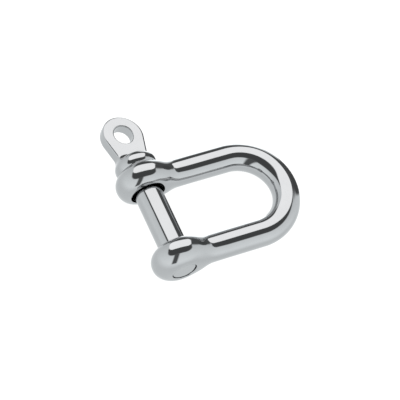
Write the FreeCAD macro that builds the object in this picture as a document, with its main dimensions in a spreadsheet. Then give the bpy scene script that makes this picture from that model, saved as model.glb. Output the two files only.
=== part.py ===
import FreeCAD, Part
import os
from types import SimpleNamespace

import Sketcher

# Stainless D shackle for a 5 mm screw pin, in millimetres.
# The origin is on the pin's axis, halfway across the jaw. +X runs from the pin to the crown of the bow,
# +Y along the pin towards its eye, and +Z square to the plane of the bow.
# Two pieces: the bow, forged from one bar with an ear at each end, and the screw pin.

DIMENSIONS = {
    # bow
    "bar_dia": 4.9,             # round bar of the legs and the crown
    "leg_gap": 10.96,           # clear width between the legs
    "inside_length": 21.53,     # pin axis to the inside of the crown
    "ear_dia": 10.0,
    "ear_inner_face": 5.6,      # each face here is at this distance from the middle of the jaw
    "ear_inner_round": 2.3,
    "ear_widest": 8.0,          # where the ear starts to dome over
    "ear_outer_round": 3.0,     # leaves a flat outer face wider than the thread
    "tapped_ear_face": 10.8,
    "seat_face": 10.0,          # flat under the pin's collar, on the other ear
    "clear_bore_dia": 6.0,
    "clear_bore_chamfer": 0.25,
    "neck_root": 1.8,           # the neck's sections, along X from the pin's axis
    "neck_root_width": 4.4,
    "neck_root_height": 6.8,
    "neck_waist": 5.0,
    "neck_waist_width": 4.8,
    "neck_waist_height": 5.5,
    "neck_end": 9.0,
    "neck_blend": 1.5,          # fillet where the neck meets the ear
    # screw pin
    "pin_dia": 5.0,
    "shank_end": 5.5,           # the plain shank reaches this far each side of the middle of the jaw
    "shank_root_dia": 5.3,      # the shank swells to this where it meets the collar
    "relief_dia": 4.0,          # run-out groove between the shank and the thread
    "relief_start": 5.9,
    "relief_end": 6.4,
    "thread_pitch": 0.8,
    "crest_dia": 4.9,
    "root_dia": 4.0,
    "tip_face": 10.6,
    "tip_chamfer": 0.4,
    "tapped_crest_dia": 5.0,    # clears the pin's crests by a running fit
    "tapped_root_dia": 5.9,
    "tapped_chamfer": 0.3,
    "collar_dia": 7.6,
    "collar_top": 13.0,
    "collar_lower_round": 0.6,
    "collar_upper_round": 1.7,
    "eye_centre": 17.55,
    "eye_dia": 7.74,
    "eye_hole_dia": 3.7,
    "eye_thick": 2.14,
    "eye_root_width": 5.2,
    "eye_root": 11.6,           # the plate starts inside the collar
    "eye_round": 0.35,
    "eye_hole_round": 0.15,
    "eye_turn": 10.0,           # degrees about the pin's axis from flat, with the pin tight
    # cutting
    "cut_overrun": 1.0,         # bores are cut this far past a face
    "thread_overrun": 0.4,      # a thread's groove runs out this far past its bore or shank
    "groove_lift": 0.1,         # and starts this far outside the metal
}

FLANK_SLOPE = 0.577             # of each side of a 60 degree groove: the tangent of 30 degrees
ROOT_FLAT_SHARE = 8             # the groove's flat root is the pitch over this
TOLERANCE = 0.01


class Size:
    """A length with the spreadsheet expression that gives it."""

    def __init__(self, value, text):
        self.value = value
        self.text = text

    def combine(self, other, sign, value):
        return Size(value, f"({self.text} {sign} {as_size(other).text})")

    def __add__(self, other):
        return self.combine(other, "+", self.value + as_size(other).value)

    def __sub__(self, other):
        return self.combine(other, "-", self.value - as_size(other).value)

    def __truediv__(self, other):
        return self.combine(other, "/", self.value / as_size(other).value)

    def __mul__(self, other):
        return self.combine(other, "*", self.value * as_size(other).value)

    def __neg__(self):
        return Size(-self.value, f"(0 - {self.text})")

    def root(self):
        return Size(self.value**0.5, f"sqrt({self.text})")


def as_size(number):
    return number if isinstance(number, Size) else Size(number, str(number))


doc = FreeCAD.newDocument("d_shackle")
sheet = doc.addObject("Spreadsheet::Sheet", "sizes")
for row, (alias, number) in enumerate(DIMENSIONS.items(), start=1):
    sheet.set(f"A{row}", alias)
    sheet.set(f"B{row}", str(number))
    sheet.setAlias(f"B{row}", alias)
doc.recompute()
dim = SimpleNamespace(**{alias: Size(number, f"sizes.{alias}") for alias, number in DIMENSIONS.items()})


def new_body(name):
    body = doc.addObject("PartDesign::Body", name)
    body.Label = name
    return body


def new_sketch(body, plane, name, lift=None):
    """A sketch on one of the body's own origin planes, lifted off it by a size if one is given."""
    sketch = body.newObject("Sketcher::SketchObject", name)
    origin_plane = next(o for o in body.Origin.OriginFeatures if o.Role == plane)
    sketch.AttachmentSupport = [(origin_plane, "")]
    sketch.MapMode = "FlatFace"
    if lift is not None:
        sketch.setExpression("AttachmentOffset.Base.z", lift.text)
    return sketch


def bind(sketch, kind, *where, size):
    index = sketch.addConstraint(Sketcher.Constraint(kind, *where, size.value))
    sketch.setExpression(f"Constraints[{index}]", size.text)


def place(sketch, geometry, end, x, y):
    """Ties one point of the geometry to sizes along the sketch's two axes."""
    for kind, across, size in (("DistanceX", -2, as_size(x)), ("DistanceY", -1, as_size(y))):
        if size.value == 0:
            sketch.addConstraint(Sketcher.Constraint("PointOnObject", geometry, end, across))
        else:
            bind(sketch, kind, -1, 1, geometry, end, size=size)


def arc_between(start, end, radius):
    """The short arc from start to end, turning left for a positive radius and right for a negative one."""
    chord = end - start
    half = chord.Length / 2
    side = FreeCAD.Vector(-chord.y, chord.x, 0).normalize()
    sagitta = abs(radius) - max(radius**2 - half**2, 0) ** 0.5
    bulge = start + chord / 2 - side * (sagitta if radius > 0 else -sagitta)
    return Part.Arc(start, bulge, end)


def draw_outline(sketch, corners):
    """A closed outline of (x, y) corners. A third value is a radius that bends the side after it."""
    points = [FreeCAD.Vector(as_size(c[0]).value, as_size(c[1]).value, 0) for c in corners]
    ends = []
    for index, corner in enumerate(corners):
        start, end = points[index], points[(index + 1) % len(points)]
        if len(corner) == 2:
            side = sketch.addGeometry(Part.LineSegment(start, end))
            ends.append((side, 1, 2))
        else:
            side = sketch.addGeometry(arc_between(start, end, corner[2].value))
            ends.append((side, 1, 2) if corner[2].value > 0 else (side, 2, 1))
    for index, corner in enumerate(corners):
        before, here = ends[index - 1], ends[index]
        sketch.addConstraint(Sketcher.Constraint("Coincident", before[0], before[2], here[0], here[1]))
        place(sketch, here[0], here[1], corner[0], corner[1])
        if len(corner) == 3:
            turn = corner[2] if corner[2].value > 0 else -corner[2]
            bind(sketch, "Radius", here[0], size=turn)


def draw_circle(sketch, x, y, radius):
    centre = FreeCAD.Vector(as_size(x).value, as_size(y).value, 0)
    circle = sketch.addGeometry(Part.Circle(centre, FreeCAD.Vector(0, 0, 1), radius.value))
    place(sketch, circle, 3, x, y)
    bind(sketch, "Radius", circle, size=radius)


def turn_about_y(body, kind, sketch, name):
    """A full Revolution or Groove of the sketch about the pin's axis."""
    feature = body.newObject(kind, name)
    feature.Profile = sketch
    feature.ReferenceAxis = (sketch, ["V_Axis"])
    feature.Angle = 360
    return feature


def draw_ellipse(sketch, y, width, height):
    """An upright ellipse, centred at y across the sketch."""
    high = height / 2
    wide = width / 2
    centre = FreeCAD.Vector(y.value, 0, 0)
    top = centre + FreeCAD.Vector(0, high.value, 0)
    flank = centre - FreeCAD.Vector(wide.value, 0, 0)
    ellipse = sketch.addGeometry(Part.Ellipse(top, flank, centre))
    sketch.exposeInternalGeometry(ellipse)
    long_axis, short_axis = ellipse + 1, ellipse + 2
    sketch.addConstraint(Sketcher.Constraint("Vertical", long_axis))
    bind(sketch, "Distance", long_axis, 1, long_axis, 2, size=height)
    bind(sketch, "Distance", short_axis, 1, short_axis, 2, size=width)
    place(sketch, ellipse, 3, y, 0)


def thread(body, name, rim, root, near, far):
    """Cuts a 60 degree V groove round the pin's axis, from far to near below the middle of the jaw."""
    half_root = dim.thread_pitch / ROOT_FLAT_SHARE / 2
    slope = (rim - root) * FLANK_SLOPE
    half_rim = half_root + (slope if slope.value > 0 else -slope)
    sketch = new_sketch(body, "XY_Plane", f"{name}_profile")
    start = -far
    corners = [
        (rim, start - half_rim),
        (root, start - half_root),
        (root, start + half_root),
        (rim, start + half_rim),
    ]
    if rim.value > root.value:
        corners.reverse()
    draw_outline(sketch, corners)
    groove = body.newObject("PartDesign::SubtractiveHelix", name)
    groove.Profile = sketch
    groove.ReferenceAxis = (sketch, ["V_Axis"])
    groove.Mode = "pitch-height-angle"
    groove.setExpression("Pitch", dim.thread_pitch.text)
    groove.setExpression("Height", (far - near).text)
    return groove


def fillet(body, base, name, radius, wanted):
    """Rounds the base's edges that pass the test."""
    doc.recompute()
    edges = [f"Edge{n}" for n, edge in enumerate(base.Shape.Edges, start=1) if wanted(edge)]
    feature = body.newObject("PartDesign::Fillet", name)
    feature.Base = (base, edges)
    feature.Radius = radius.value
    feature.setExpression("Radius", radius.text)
    return feature


# The bow: a bar bent to a U, drawn out into a neck and an ear at each end.
bow = new_body("shackle_body")
bar_r = dim.bar_dia / 2
leg_y = dim.leg_gap / 2 + bar_r
bend_x = dim.inside_length + bar_r - leg_y

spine = new_sketch(bow, "XY_Plane", "bar_path")
near_neck = FreeCAD.Vector(dim.neck_end.value, -leg_y.value, 0)
near_bend = FreeCAD.Vector(bend_x.value, -leg_y.value, 0)
far_bend = FreeCAD.Vector(bend_x.value, leg_y.value, 0)
far_neck = FreeCAD.Vector(dim.neck_end.value, leg_y.value, 0)
near_leg = spine.addGeometry(Part.LineSegment(near_neck, near_bend))
crown = spine.addGeometry(arc_between(near_bend, far_bend, leg_y.value))
far_leg = spine.addGeometry(Part.LineSegment(far_bend, far_neck))
spine.addConstraint(Sketcher.Constraint("Coincident", near_leg, 2, crown, 1))
spine.addConstraint(Sketcher.Constraint("Coincident", crown, 2, far_leg, 1))
place(spine, near_leg, 1, dim.neck_end, -leg_y)
place(spine, near_leg, 2, bend_x, -leg_y)
place(spine, crown, 3, bend_x, 0)
spine.addConstraint(Sketcher.Constraint("Horizontal", far_leg))
bind(spine, "DistanceX", -1, 1, far_leg, 1, size=bend_x)
bind(spine, "DistanceX", -1, 1, far_leg, 2, size=dim.neck_end)

bar_section = new_sketch(bow, "YZ_Plane", "bar_section", lift=dim.neck_end)
draw_circle(bar_section, -leg_y, 0, bar_r)
bar = bow.newObject("PartDesign::AdditivePipe", "bar")
bar.Profile = bar_section
bar.Spine = (spine, ["Edge1", "Edge2", "Edge3"])
doc.recompute()

neck_sections = []
for name, x, width, height in (
    ("neck_end_section", dim.neck_end, dim.bar_dia, dim.bar_dia),
    ("neck_waist_section", dim.neck_waist, dim.neck_waist_width, dim.neck_waist_height),
    ("neck_root_section", dim.neck_root, dim.neck_root_width, dim.neck_root_height),
):
    section = new_sketch(bow, "YZ_Plane", name, lift=x)
    if width is height:
        draw_circle(section, leg_y, 0, width / 2)
    else:
        draw_ellipse(section, leg_y, width, height)
    neck_sections.append(section)
neck = bow.newObject("PartDesign::AdditiveLoft", "neck")
neck.Profile = neck_sections[0]
neck.Sections = neck_sections[1:]

ear_r = dim.ear_dia / 2
dome_rise = dim.tapped_ear_face - dim.ear_widest
dome_reach = (dim.ear_outer_round * dim.ear_outer_round - dome_rise * dome_rise).root()
face_r = ear_r - dim.ear_outer_round + dome_reach
ear_profile = new_sketch(bow, "XY_Plane", "ear_profile")
draw_outline(
    ear_profile,
    [
        (0, dim.ear_inner_face),
        (ear_r - dim.ear_inner_round, dim.ear_inner_face, dim.ear_inner_round),
        (ear_r, dim.ear_inner_face + dim.ear_inner_round),
        (ear_r, dim.ear_widest, dim.ear_outer_round),
        (face_r, dim.tapped_ear_face),
        (0, dim.tapped_ear_face),
    ],
)
ear = turn_about_y(bow, "PartDesign::Revolution", ear_profile, "ear")
doc.recompute()
other_side = bow.newObject("PartDesign::Mirrored", "other_side")
other_side.Originals = [neck, ear]
mirror_plane = next(o for o in bow.Origin.OriginFeatures if o.Role == "XZ_Plane")
other_side.MirrorPlane = (mirror_plane, [""])
bow.Tip = other_side
doc.recompute()


def joins_neck_to_ear(edge):
    surfaces = [type(face.Surface) for face in other_side.Shape.ancestorsOfType(edge, Part.Face)]
    return surfaces.count(Part.BSplineSurface) == 1 and edge.BoundBox.XMax < dim.neck_waist.value


fillet(bow, other_side, "neck_blends", dim.neck_blend, joins_neck_to_ear)
doc.recompute()

clear_r = dim.clear_bore_dia / 2
clear_rim = clear_r + dim.clear_bore_chamfer
clear_profile = new_sketch(bow, "XY_Plane", "clear_bore_profile")
draw_outline(
    clear_profile,
    [
        (0, dim.ear_inner_face - dim.cut_overrun),
        (clear_rim, dim.ear_inner_face - dim.cut_overrun),
        (clear_rim, dim.ear_inner_face),
        (clear_r, dim.ear_inner_face + dim.clear_bore_chamfer),
        (clear_r, dim.seat_face),
        (ear_r, dim.seat_face),
        (ear_r, dim.tapped_ear_face + dim.cut_overrun),
        (0, dim.tapped_ear_face + dim.cut_overrun),
    ],
)
turn_about_y(bow, "PartDesign::Groove", clear_profile, "clear_bore_and_seat")

tapped_r = dim.tapped_crest_dia / 2
tapped_rim = tapped_r + dim.tapped_chamfer
tapped_profile = new_sketch(bow, "XY_Plane", "tapped_bore_profile")
draw_outline(
    tapped_profile,
    [
        (0, -dim.tapped_ear_face - dim.cut_overrun),
        (tapped_rim, -dim.tapped_ear_face - dim.cut_overrun),
        (tapped_rim, -dim.tapped_ear_face),
        (tapped_r, -dim.tapped_ear_face + dim.tapped_chamfer),
        (tapped_r, -dim.ear_inner_face - dim.tapped_chamfer),
        (tapped_rim, -dim.ear_inner_face),
        (tapped_rim, -dim.ear_inner_face + dim.cut_overrun),
        (0, -dim.ear_inner_face + dim.cut_overrun),
    ],
)
turn_about_y(bow, "PartDesign::Groove", tapped_profile, "tapped_bore")
doc.recompute()
tapped_start = dim.ear_inner_face - dim.thread_overrun
tapped_end = dim.tapped_ear_face + dim.thread_overrun
thread(bow, "tapped_thread", tapped_r - dim.groove_lift, dim.tapped_root_dia / 2, tapped_start, tapped_end)
doc.recompute()

# The screw pin: a flat eye over a collar, a plain shank and a thread that ends just inside the ear's face.
pin = new_body("screw_pin")
eye_r = dim.eye_dia / 2
root_x = dim.eye_root_width / 2
eye_outline = new_sketch(pin, "XY_Plane", "eye_outline")
eye_outline.AttachmentOffset = FreeCAD.Placement(
    FreeCAD.Vector(0, 0, 0), FreeCAD.Rotation(FreeCAD.Vector(0, 1, 0), dim.eye_turn.value)
)
eye_outline.setExpression("AttachmentOffset.Rotation.Angle", dim.eye_turn.text)
right_root = FreeCAD.Vector(root_x.value, dim.eye_root.value, 0)
left_root = FreeCAD.Vector(-root_x.value, dim.eye_root.value, 0)
right_side = FreeCAD.Vector(eye_r.value, dim.eye_centre.value, 0)
left_side = FreeCAD.Vector(-eye_r.value, dim.eye_centre.value, 0)
top = FreeCAD.Vector(0, dim.eye_centre.value + eye_r.value, 0)
right_edge = eye_outline.addGeometry(Part.LineSegment(right_root, right_side))
rim = eye_outline.addGeometry(Part.Arc(right_side, top, left_side))
left_edge = eye_outline.addGeometry(Part.LineSegment(left_side, left_root))
root_edge = eye_outline.addGeometry(Part.LineSegment(left_root, right_root))
eye_outline.addConstraint(Sketcher.Constraint("Tangent", right_edge, 2, rim, 1))
eye_outline.addConstraint(Sketcher.Constraint("Tangent", rim, 2, left_edge, 1))
eye_outline.addConstraint(Sketcher.Constraint("Coincident", left_edge, 2, root_edge, 1))
eye_outline.addConstraint(Sketcher.Constraint("Coincident", root_edge, 2, right_edge, 1))
place(eye_outline, rim, 3, 0, dim.eye_centre)
bind(eye_outline, "Radius", rim, size=eye_r)
place(eye_outline, root_edge, 1, -root_x, dim.eye_root)
place(eye_outline, root_edge, 2, root_x, dim.eye_root)
draw_circle(eye_outline, 0, dim.eye_centre, dim.eye_hole_dia / 2)
eye = pin.newObject("PartDesign::Pad", "eye")
eye.Profile = eye_outline
eye.Midplane = True
eye.setExpression("Length", dim.eye_thick.text)


def on_a_face(edge):
    """True of an edge that lies in one of the plate's two faces, along its full length."""
    normal = eye_outline.Placement.Rotation.multVec(FreeCAD.Vector(0, 0, 1))
    depths = [dim.eye_thick.value / 2 - abs(point.dot(normal)) for point in edge.discretize(4)]
    return max(depths) < TOLERANCE


def is_hole_rim(edge):
    return on_a_face(edge) and edge.isClosed()


def is_outer_edge(edge):
    return on_a_face(edge) and not edge.isClosed() and edge.BoundBox.YMax > dim.eye_root.value + TOLERANCE


rounded_hole = fillet(pin, eye, "eye_hole_edges", dim.eye_hole_round, is_hole_rim)
fillet(pin, rounded_hole, "eye_edges", dim.eye_round, is_outer_edge)
doc.recompute()

pin_r = dim.pin_dia / 2
crest_r = dim.crest_dia / 2
relief_r = dim.relief_dia / 2
collar_r = dim.collar_dia / 2
shank_profile = new_sketch(pin, "XY_Plane", "shank_profile")
draw_outline(
    shank_profile,
    [
        (0, -dim.tip_face),
        (crest_r - dim.tip_chamfer, -dim.tip_face),
        (crest_r, -dim.tip_face + dim.tip_chamfer),
        (crest_r, -dim.relief_end),
        (relief_r, -dim.relief_end),
        (relief_r, -dim.relief_start),
        (pin_r, -dim.shank_end),
        (pin_r, dim.shank_end),
        (dim.shank_root_dia / 2, dim.seat_face),
        (collar_r - dim.collar_lower_round, dim.seat_face, dim.collar_lower_round),
        (collar_r, dim.seat_face + dim.collar_lower_round),
        (collar_r, dim.collar_top - dim.collar_upper_round, dim.collar_upper_round),
        (collar_r - dim.collar_upper_round, dim.collar_top),
        (0, dim.collar_top),
    ],
)
turn_about_y(pin, "PartDesign::Revolution", shank_profile, "shank_and_collar")
doc.recompute()
thread_end = dim.tip_face + dim.thread_overrun
thread(pin, "pin_thread", crest_r + dim.groove_lift, dim.root_dia / 2, dim.relief_start, thread_end)
doc.recompute()

# Nothing is written unless every feature has recomputed and each piece is one valid solid.
failed = [thing.Name for thing in doc.Objects if "Invalid" in thing.State or "Error" in thing.State]
if failed:
    raise RuntimeError(f"these did not recompute: {failed}")
os.makedirs("parts", exist_ok=True)
for body in (bow, pin):
    shape = body.Shape
    if shape.isNull() or not shape.isValid() or len(shape.Solids) != 1:
        raise RuntimeError(f"{body.Label} is not one valid solid")
    print(body.Label, "volume", round(shape.Volume, 2), "box", shape.BoundBox)
    shape.exportStep(f"parts/{body.Label}.step")
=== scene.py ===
"""Looks of the polished stainless D shackle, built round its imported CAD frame.

Blender objects are in metres and in the row's own frame. The two forgings are modelled as distance fields
in millimetres, so that ears, necks, collar and eye run into each other as forged and polished metal does.
"""

import math
from collections import namedtuple

import bpy
import numpy as np
from mathutils import Matrix, Vector


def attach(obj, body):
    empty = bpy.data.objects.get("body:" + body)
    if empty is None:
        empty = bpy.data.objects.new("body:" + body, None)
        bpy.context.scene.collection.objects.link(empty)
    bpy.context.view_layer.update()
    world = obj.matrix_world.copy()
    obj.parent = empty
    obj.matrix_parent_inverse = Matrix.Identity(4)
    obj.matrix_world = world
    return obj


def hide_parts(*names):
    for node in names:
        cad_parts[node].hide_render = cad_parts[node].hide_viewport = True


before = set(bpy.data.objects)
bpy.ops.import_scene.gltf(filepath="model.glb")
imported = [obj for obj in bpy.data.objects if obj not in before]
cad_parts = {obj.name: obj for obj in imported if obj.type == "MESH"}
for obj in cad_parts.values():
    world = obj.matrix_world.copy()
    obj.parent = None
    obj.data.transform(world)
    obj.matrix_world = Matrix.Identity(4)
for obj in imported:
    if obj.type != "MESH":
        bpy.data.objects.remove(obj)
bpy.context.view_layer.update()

MM = 0.001
MESH_STEP = 0.14      # mm between the points of the finished surfaces

# The bow, in millimetres.
BAR_R = 2.45
LEG_Y = 7.93                # legs' centre lines, each side of the jaw's middle
BEND_X = 16.04              # where the legs turn into the crown
EAR_R = 4.99
EAR_WIDEST_Y = 8.0
EAR_INNER_ROUND = (2.0, 2.4)    # across and along the pin's axis
EAR_OUTER_ROUND = (3.2, 2.85)
OUTER_FACE_Y = 10.8
SEAT_Y = 10.0               # flat that the pin's collar bears on
SEAT_R = 4.4
CLEAR_BORE_R = 3.1
TAPPED_RIM_R = 2.8
TAPPED_LIP_R = 2.25         # the thread stops just inside the outer face
TAPPED_LIP = 0.3
NECK_START_X = 3.2
NECK_END_X = 9.2
NECK_BLEND = 1.65
NECK_SWELL = 1.25           # extra half height of the neck at the pin's axis
NECK_START_ROUND = 1.2
FACE_ROUND = 0.3            # edges of the ears' outer faces
SEAT_EDGE_ROUND = 0.3
SEAT_ROUND = 0.25
BORE_EDGE_ROUND = 0.2

# The screw pin, in millimetres.
PIN_R = 2.5
SHANK_END_Y = 5.5           # plain shank, each side of the jaw's middle
SHANK_FLARE = 0.15
RELIEF_R = 2.0
RELIEF_Y = (-6.4, -5.9)
TIP_Y = -10.6
PITCH = 0.8
PIN_THREAD_R = (2.0, 2.45)      # root and crest
TAPPED_THREAD_R = (2.95, 2.5)
THREAD_ROOT_FLAT = 0.15     # share of each half pitch that is flat at the root
THREAD_FLANK = 0.65         # and the share that the flank takes
COLLAR_R = 3.8
COLLAR_WIDEST_Y = 11.2
COLLAR_LOWER_ROUND = (0.8, 1.2)     # across and along the pin's axis
COLLAR_UPPER_ROUND = (1.8, 1.8)
EYE_Y = 17.55
EYE_R = 3.87
EYE_HOLE_R = 1.83
EYE_HALF_THICK = 1.07
EYE_ROOT_X = 2.57
EYE_ROOT_Y = 11.6
EYE_TURN = math.radians(10)
TIP_ROUND = 0.15
COLLAR_ROUND = 0.15         # where the collar meets the shank
EYE_ROOT_ROUND = 0.3
EYE_EDGE_ROUND = 0.45
EYE_HOLE_ROUND = 0.25
EYE_BLEND = 0.85            # where the eye runs into the collar
TIP_CHAMFER = 0.05
SHANK_OVERLAP = 1           # how far the shank runs up inside the collar

# Where the photographer stands, and how the camera is turned about its own line of sight.
VIEW_AZIMUTH = math.radians(-41.65)
VIEW_ELEVATION = math.radians(57.75)
VIEW_ROLL = math.radians(20.67)
VIEW_TARGET = Vector((8.34, 1.56, 0)) * MM
VIEW_DISTANCE = 358.5 * MM
VIEW_LENS = 183.5
SENSOR = 36


# ---------------------------------------------------------------- distance fields


def smooth_min(a, b, blend):
    h = np.clip(0.5 + 0.5 * (b - a) / blend, 0, 1)
    return b + (a - b) * h - blend * h * (1 - h)


def smooth_max(a, b, blend):
    return -smooth_min(-a, -b, blend)


def oval_corner(across, along, rounds):
    """Distance to a quarter of an oval, from how far a point is from the oval's centre each way."""
    u, v = across / rounds[0], along / rounds[1]
    outside = np.hypot(np.maximum(u, 0), np.maximum(v, 0))
    return (outside + np.minimum(np.maximum(u, v), 0) - 1) * min(rounds)


def thread_radius(x, y, z, root, crest):
    """Radius of a right-hand thread along Y."""
    phase = y / PITCH - np.arctan2(x, z) / (2 * np.pi)
    height = 2 * np.abs(phase - np.floor(phase) - 0.5)
    return root + (crest - root) * np.clip((height - THREAD_ROOT_FLAT) / THREAD_FLANK, 0, 1)


def bow_distance(x, y, z):
    side = np.abs(y)
    r = np.hypot(x, z)
    off_line = np.where(x > BEND_X, np.hypot(x - BEND_X, y), side) - LEG_Y
    neck = np.clip(1 - x / NECK_END_X, 0, 1) ** 2
    bar = (np.hypot(off_line / BAR_R, z / (BAR_R + NECK_SWELL * neck)) - 1) * BAR_R
    bar = smooth_max(bar, NECK_START_X - x, NECK_START_ROUND)

    inner = oval_corner(r - EAR_R + EAR_INNER_ROUND[0], EAR_WIDEST_Y - side, EAR_INNER_ROUND)
    outer = oval_corner(r - EAR_R + EAR_OUTER_ROUND[0], side - EAR_WIDEST_Y, EAR_OUTER_ROUND)
    body = smooth_min(np.where(side < EAR_WIDEST_Y, inner, outer), bar, NECK_BLEND)
    body = smooth_max(body, side - OUTER_FACE_Y, FACE_ROUND)

    seat = smooth_max(SEAT_Y - y, r - SEAT_R, SEAT_EDGE_ROUND)
    body = smooth_max(body, -seat, SEAT_ROUND)
    lead_in = TAPPED_RIM_R - (side - EAR_WIDEST_Y + EAR_INNER_ROUND[1])
    lip = TAPPED_LIP_R + np.maximum(OUTER_FACE_Y - side - TAPPED_LIP, 0)
    tapped_r = np.minimum(np.maximum(thread_radius(x, y, z, *TAPPED_THREAD_R), lead_in), lip)
    hole_r = np.where(y > 0, CLEAR_BORE_R, tapped_r)
    return smooth_max(body, hole_r - r, BORE_EDGE_ROUND)


def tear_drop(across, along):
    """Outline of the eye: a round end with straight flanks that run down tangent to it."""
    drop = EYE_Y - EYE_ROOT_Y
    tilt = math.acos(EYE_R / math.hypot(EYE_ROOT_X, drop)) - math.atan2(drop, EYE_ROOT_X)
    nx, ny = math.cos(tilt), math.sin(tilt)
    across = np.abs(across)
    along = along - EYE_Y
    flank = across * nx + along * ny - EYE_R
    return np.where(along * nx - across * ny < 0, flank, np.hypot(across, along) - EYE_R)


def pin_distance(x, y, z):
    r = np.hypot(x, z)
    lead_in = RELIEF_R + TIP_CHAMFER + y - TIP_Y
    threaded = np.minimum(thread_radius(x, y, z, *PIN_THREAD_R), lead_in)
    run_out = np.clip((y - RELIEF_Y[1]) / (-SHANK_END_Y - RELIEF_Y[1]), 0, 1)
    flare = np.clip((y - SHANK_END_Y) / (SEAT_Y - SHANK_END_Y), 0, 1)
    radius = np.where(y < RELIEF_Y[0], threaded, RELIEF_R + (PIN_R - RELIEF_R) * run_out)
    radius = np.where(y > -SHANK_END_Y, PIN_R + SHANK_FLARE * flare, radius)
    shank = smooth_max(r - radius, TIP_Y - y, TIP_ROUND)
    shank = np.maximum(shank, y - SEAT_Y - SHANK_OVERLAP)

    lower = oval_corner(r - COLLAR_R + COLLAR_LOWER_ROUND[0], COLLAR_WIDEST_Y - y, COLLAR_LOWER_ROUND)
    upper = oval_corner(r - COLLAR_R + COLLAR_UPPER_ROUND[0], y - COLLAR_WIDEST_Y, COLLAR_UPPER_ROUND)
    body = smooth_min(shank, np.where(y < COLLAR_WIDEST_Y, lower, upper), COLLAR_ROUND)

    across = x * math.cos(EYE_TURN) - z * math.sin(EYE_TURN)
    through = x * math.sin(EYE_TURN) + z * math.cos(EYE_TURN)
    plate = smooth_max(tear_drop(across, y), EYE_ROOT_Y - y, EYE_ROOT_ROUND)
    plate = smooth_max(plate, np.abs(through) - EYE_HALF_THICK, EYE_EDGE_ROUND)
    plate = smooth_max(plate, EYE_HOLE_R - np.hypot(across, y - EYE_Y), EYE_HOLE_ROUND)
    return smooth_min(body, plate, EYE_BLEND)


def gradient(distance, points, step=0.001):
    slopes = []
    for axis in np.eye(3):
        ahead, behind = points + step * axis, points - step * axis
        slopes.append(distance(*ahead.T) - distance(*behind.T))
    return np.stack(slopes, 1) / (2 * step)


def surface_net(distance, low, high):
    """Quads round the field's inside, with a point in each grid cell that the surface crosses."""
    axes = [np.arange(a, b + MESH_STEP, MESH_STEP) for a, b in zip(low, high)]
    across = np.meshgrid(axes[1], axes[2], indexing="ij")
    inside = np.array([distance(np.full(across[0].shape, x), *across) < 0 for x in axes[0]])
    either_end = (slice(None, -1), slice(1, None))
    corners = [inside[i, j, k] for i in either_end for j in either_end for k in either_end]
    count = sum(corner.astype(np.int8) for corner in corners)
    cells = np.argwhere((count > 0) & (count < 8))
    index = np.full(count.shape, -1)
    index[tuple(cells.T)] = np.arange(len(cells))
    points = np.array(low) + (cells + 0.5) * MESH_STEP
    quads = []
    for axis in range(3):
        side_a, side_b = (axis + 1) % 3, (axis + 2) % 3
        edges = np.argwhere(np.diff(inside.astype(np.int8), axis=axis))
        ring = []
        for back_a, back_b in ((1, 1), (0, 1), (0, 0), (1, 0)):
            cell = edges.copy()
            cell[:, side_a] -= back_a
            cell[:, side_b] -= back_b
            ring.append(index[tuple(cell.T)])
        ring = np.stack(ring, 1)
        facing_back = ~inside[tuple(edges.T)]
        ring[facing_back] = ring[facing_back][:, ::-1]
        quads.append(ring)
    return points, np.concatenate(quads)


LEAST_STEEPNESS = 0.05
LONGEST_MOVE = 0.2


def onto_surface(distance, points, rounds):
    for _ in range(rounds):
        slope = gradient(distance, points)
        steepness = np.maximum((slope**2).sum(1), LEAST_STEEPNESS)
        move = np.clip(distance(*points.T) / steepness, -LONGEST_MOVE, LONGEST_MOVE)
        points = points - move[:, None] * slope
    return points


def even_out(points, quads):
    """Moves each point halfway to the mean of its neighbours."""
    total = np.zeros_like(points)
    count = np.zeros(len(points))
    for a, b in ((0, 1), (1, 2), (2, 3), (3, 0)):
        for here, there in ((quads[:, a], quads[:, b]), (quads[:, b], quads[:, a])):
            np.add.at(total, here, points[there])
            np.add.at(count, here, 1)
    return (points + total / count[:, None]) / 2


def make_forging(name, distance, low, high, body, node, material):
    points, quads = surface_net(distance, low, high)
    points = onto_surface(distance, points, 4)
    for _ in range(3):
        points = onto_surface(distance, even_out(points, quads), 3)
    normals = gradient(distance, points)
    normals /= np.linalg.norm(normals, axis=1)[:, None]
    mesh = bpy.data.meshes.new(name)
    mesh.vertices.add(len(points))
    mesh.vertices.foreach_set("co", (points * MM).ravel())
    mesh.loops.add(quads.size)
    mesh.loops.foreach_set("vertex_index", quads.ravel().astype(np.int32))
    mesh.polygons.add(len(quads))
    mesh.polygons.foreach_set("loop_start", np.arange(0, quads.size, 4, dtype=np.int32))
    mesh.update(calc_edges=True)
    mesh.validate()
    mesh.polygons.foreach_set("use_smooth", np.ones(len(mesh.polygons), bool))
    mesh.normals_split_custom_set_from_vertices(normals)
    mesh.materials.append(material)
    piece = bpy.data.objects.new(name, mesh)
    bpy.context.scene.collection.objects.link(piece)
    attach(piece, body)
    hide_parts(node)


# ---------------------------------------------------------------- materials


def add_node(tree, kind, **settings):
    node = tree.nodes.new(kind)
    for key, value in settings.items():
        setattr(node, key, value)
    return node


def feed(tree, socket, value):
    if isinstance(value, bpy.types.NodeSocket):
        tree.links.new(value, socket)
    else:
        socket.default_value = value


def calculate(tree, operation, *values):
    node = add_node(tree, "ShaderNodeMath", operation=operation)
    for socket, value in zip(node.inputs, values):
        feed(tree, socket, value)
    return node.outputs[0]


def remap(tree, value, from_low, from_high, to_low, to_high, smooth=False):
    node = add_node(tree, "ShaderNodeMapRange", interpolation_type="SMOOTHSTEP" if smooth else "LINEAR")
    for socket, number in zip(node.inputs, (value, from_low, from_high, to_low, to_high)):
        feed(tree, socket, number)
    return node.outputs[0]


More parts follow.
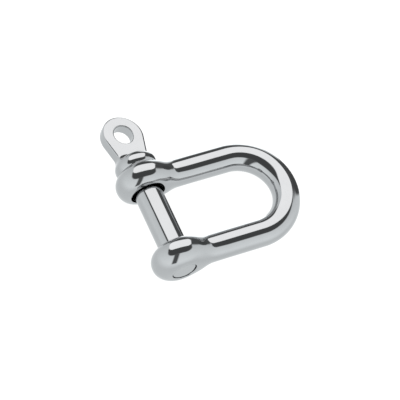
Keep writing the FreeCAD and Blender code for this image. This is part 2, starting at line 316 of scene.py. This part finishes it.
def noise(tree, scale, detail, roughness=0.5, stretch=None):
    """Noise in the object's own space. Scale is in features per metre."""
    place = add_node(tree, "ShaderNodeTexCoord").outputs["Object"]
    if stretch:
        mapping = add_node(tree, "ShaderNodeMapping")
        feed(tree, mapping.inputs["Vector"], place)
        mapping.inputs["Scale"].default_value = stretch
        place = mapping.outputs[0]
    node = add_node(tree, "ShaderNodeTexNoise")
    feed(tree, node.inputs["Vector"], place)
    node.inputs["Scale"].default_value = scale
    node.inputs["Detail"].default_value = detail
    node.inputs["Roughness"].default_value = roughness
    return node.outputs["Fac"]


CLEAN_STEEL = (0.472, 0.477, 0.484, 1)
SMUDGED_STEEL = (0.454, 0.459, 0.466, 1)
SMUDGES_PER_METRE = 260
WAVES_PER_METRE = 420
SMUDGE_ROUGHNESS = (0.05, 0.085)
MARK_ROUGHNESS = 0.03
WAVE_HEIGHT = 0.02 * MM
MARK_HEIGHT = 0.004 * MM


def polished_steel(name, lay):
    """Tumbled and buffed stainless. lay stretches the buffing marks along the piece."""
    material = bpy.data.materials.new(name)
    material.use_nodes = True
    tree = material.node_tree
    shader = tree.nodes["Principled BSDF"]
    shader.inputs["Metallic"].default_value = 1.0
    smudges = noise(tree, SMUDGES_PER_METRE, detail=4, roughness=0.6)
    tone = add_node(tree, "ShaderNodeMix", data_type="RGBA")
    feed(tree, tone.inputs["Factor"], remap(tree, smudges, 0.35, 0.7, 0, 1))
    tone.inputs["A"].default_value = CLEAN_STEEL
    tone.inputs["B"].default_value = SMUDGED_STEEL
    feed(tree, shader.inputs["Base Color"], tone.outputs["Result"])
    marks = noise(tree, 1, detail=3, roughness=0.7, stretch=lay)
    smudge_rough = remap(tree, smudges, 0.3, 0.75, *SMUDGE_ROUGHNESS)
    mark_rough = remap(tree, marks, 0.5, 0.8, 0, MARK_ROUGHNESS)
    rough = calculate(tree, "ADD", smudge_rough, mark_rough)
    feed(tree, shader.inputs["Roughness"], rough)
    waves = noise(tree, WAVES_PER_METRE, detail=1)
    wave_bump = add_node(tree, "ShaderNodeBump")
    wave_bump.inputs["Strength"].default_value = 0.25
    wave_bump.inputs["Distance"].default_value = WAVE_HEIGHT
    feed(tree, wave_bump.inputs["Height"], waves)
    mark_bump = add_node(tree, "ShaderNodeBump")
    mark_bump.inputs["Strength"].default_value = 0.15
    mark_bump.inputs["Distance"].default_value = MARK_HEIGHT
    feed(tree, mark_bump.inputs["Height"], marks)
    feed(tree, mark_bump.inputs["Normal"], wave_bump.outputs[0])
    feed(tree, shader.inputs["Normal"], mark_bump.outputs[0])
    return material


# ---------------------------------------------------------------- the studio


def view_axes():
    """Right, up and back of the photographer's camera."""
    back = Vector((
        math.sin(VIEW_AZIMUTH) * math.cos(VIEW_ELEVATION),
        -math.cos(VIEW_AZIMUTH) * math.cos(VIEW_ELEVATION),
        math.sin(VIEW_ELEVATION),
    ))
    level = Vector((math.cos(VIEW_AZIMUTH), math.sin(VIEW_AZIMUTH), 0))
    upright = back.cross(level)
    right = level * math.cos(VIEW_ROLL) + upright * math.sin(VIEW_ROLL)
    return right, back.cross(right), back


def make_camera():
    right, up, back = view_axes()
    camera = bpy.data.objects.new("camera", bpy.data.cameras.new("camera"))
    camera.data.sensor_width = SENSOR
    camera.data.lens = VIEW_LENS
    camera.data.clip_start = 0.01
    camera.data.clip_end = 10
    camera.matrix_world = Matrix.Translation(VIEW_TARGET + back * VIEW_DISTANCE) @ Matrix(
        (right, up, back)
    ).transposed().to_4x4()
    bpy.context.scene.collection.objects.link(camera)
    bpy.context.scene.camera = camera


# The studio as the shackle sees it, in degrees right of and above the photographer. A soft box hangs over
# the work, the photographer and tripod stand dark in front of it, and the room behind it is unlit.
SWEEP_LIGHT = 1.17
SWEEP_FALL = 0.0033         # per degree above the photographer
SWEEP_TINT = (0.955, 0.99, 1, 1)
TABLE_LIGHT = 1.0
TABLE_EDGE = (0.15, -0.5)   # height of a direction where the table's light starts, and is full
Panel = namedtuple("Panel", "middle size tilt corner light softness")
SOFT_BOX = Panel(middle=(5, 70), size=(100, 60), tilt=10, corner=20, light=1.65, softness=4)
PHOTOGRAPHER = Panel(middle=(10, 35), size=(105, 75), tilt=10, corner=30, light=0.1, softness=7)
TRIPOD = Panel(middle=(5, -30), size=(20, 60), tilt=0, corner=5, light=0.14, softness=8)
DARK_ROOM = Panel(middle=(25, 95), size=(150, 60), tilt=-15, corner=20, light=0.12, softness=18)
DARK_WALL = Panel(middle=(130, 80), size=(90, 80), tilt=-15, corner=20, light=0.1, softness=8)
SHEEN = Panel(middle=(0, 165), size=(150, 60), tilt=0, corner=20, light=1.8, softness=14)


def panel_mask(tree, place, panel):
    """1 inside an oblong with round corners, falling to 0 over the panel's softness."""
    own_place = add_node(tree, "ShaderNodeMapping", vector_type="TEXTURE")
    feed(tree, own_place.inputs["Vector"], place)
    own_place.inputs["Location"].default_value = (*panel.middle, 0)
    own_place.inputs["Rotation"].default_value = (0, 0, math.radians(panel.tilt))
    folded = add_node(tree, "ShaderNodeVectorMath", operation="ABSOLUTE")
    feed(tree, folded.inputs[0], own_place.outputs[0])
    past_corner = add_node(tree, "ShaderNodeVectorMath", operation="SUBTRACT")
    feed(tree, past_corner.inputs[0], folded.outputs[0])
    past_corner.inputs[1].default_value = (
        panel.size[0] / 2 - panel.corner,
        panel.size[1] / 2 - panel.corner,
        0,
    )
    outward = add_node(tree, "ShaderNodeVectorMath", operation="MAXIMUM")
    feed(tree, outward.inputs[0], past_corner.outputs[0])
    outward.inputs[1].default_value = (0, 0, 0)
    length = add_node(tree, "ShaderNodeVectorMath", operation="LENGTH")
    feed(tree, length.inputs[0], outward.outputs[0])
    depth = calculate(tree, "SUBTRACT", panel.corner, length.outputs["Value"])
    return remap(tree, depth, -panel.softness / 2, panel.softness / 2, 0, 1, smooth=True)


def blend_light(tree, under, over, mask):
    difference = calculate(tree, "SUBTRACT", over, under)
    return calculate(tree, "MULTIPLY_ADD", difference, mask, under)


def light_studio():
    world = bpy.data.worlds.new("studio")
    bpy.context.scene.world = world
    world.use_nodes = True
    tree = world.node_tree
    direction = add_node(tree, "ShaderNodeTexCoord").outputs["Generated"]
    along = []
    for axis in view_axes():
        dot = add_node(tree, "ShaderNodeVectorMath", operation="DOT_PRODUCT")
        feed(tree, dot.inputs[0], direction)
        dot.inputs[1].default_value = axis
        along.append(dot.outputs["Value"])
    cosine = calculate(tree, "MINIMUM", along[2], 0.99999)
    angle = calculate(tree, "DEGREES", calculate(tree, "ARCCOSINE", cosine))
    squares = [calculate(tree, "MULTIPLY", part, part) for part in along[:2]]
    reach = calculate(tree, "SQRT", calculate(tree, "ADD", *squares))
    stretch = calculate(tree, "DIVIDE", angle, calculate(tree, "MAXIMUM", reach, 0.00001))
    above = calculate(tree, "MULTIPLY", along[1], stretch)
    place = add_node(tree, "ShaderNodeCombineXYZ")
    feed(tree, place.inputs[0], calculate(tree, "MULTIPLY", along[0], stretch))
    feed(tree, place.inputs[1], above)
    place = place.outputs[0]

    light = calculate(tree, "SUBTRACT", SWEEP_LIGHT, calculate(tree, "MULTIPLY", above, SWEEP_FALL))
    world_up = add_node(tree, "ShaderNodeSeparateXYZ")
    feed(tree, world_up.inputs[0], direction)
    table = remap(tree, world_up.outputs[2], *TABLE_EDGE, 0, 1, smooth=True)
    light = blend_light(tree, light, TABLE_LIGHT, table)
    tint = add_node(tree, "ShaderNodeMix", data_type="RGBA")
    feed(tree, tint.inputs["Factor"], panel_mask(tree, place, SOFT_BOX))
    tint.inputs["A"].default_value = SWEEP_TINT
    tint.inputs["B"].default_value = (1, 1, 1, 1)
    for panel in (SHEEN, DARK_ROOM, DARK_WALL, PHOTOGRAPHER, TRIPOD, SOFT_BOX):
        light = blend_light(tree, light, panel.light, panel_mask(tree, place, panel))
    background = tree.nodes["Background"]
    feed(tree, background.inputs["Color"], tint.outputs["Result"])
    feed(tree, background.inputs["Strength"], light)


FLOOR_SIZE = 4
FLOOR_GREY = 0.2
FLOOR_GLOW = 0.96


def lay_floor():
    """A pale floor that touches both ears and the crown, as the shackle lies."""
    crown_x = BEND_X + LEG_Y
    tilt = math.asin((EAR_R - BAR_R) / crown_x)
    place = Vector((math.sin(tilt), 0, -math.cos(tilt))) * EAR_R * MM
    bpy.ops.mesh.primitive_plane_add(size=FLOOR_SIZE, location=place, rotation=(0, -tilt, 0))
    floor = bpy.context.object
    floor.name = "floor"
    material = bpy.data.materials.new("floor")
    material.use_nodes = True
    shader = material.node_tree.nodes["Principled BSDF"]
    shader.inputs["Base Color"].default_value = (FLOOR_GREY, FLOOR_GREY, FLOOR_GREY, 1)
    shader.inputs["Roughness"].default_value = 0.9
    shader.inputs["Specular IOR Level"].default_value = 0.0
    shader.inputs["Emission Color"].default_value = (1, 1, 1, 1)
    shader.inputs["Emission Strength"].default_value = FLOOR_GLOW
    floor.data.materials.append(material)
    floor.visible_glossy = False        # the metal sees the table's light in the studio instead


# ---------------------------------------------------------------- the scene

bpy.context.scene.view_settings.view_transform = "Standard"
make_camera()
light_studio()
lay_floor()
make_forging(
    "bow", bow_distance, (-5.3, -11.1, -5.3), (27.0, 11.1, 5.3), "bow", "shackle_body",
    polished_steel("bow_steel", lay=(600, 9000, 9000)),
)
make_forging(
    "screw_pin_metal", pin_distance, (-4.4, -10.8, -4.4), (4.4, 21.9, 4.4), "pin", "screw_pin",
    polished_steel("pin_steel", lay=(9000, 700, 9000)),
)
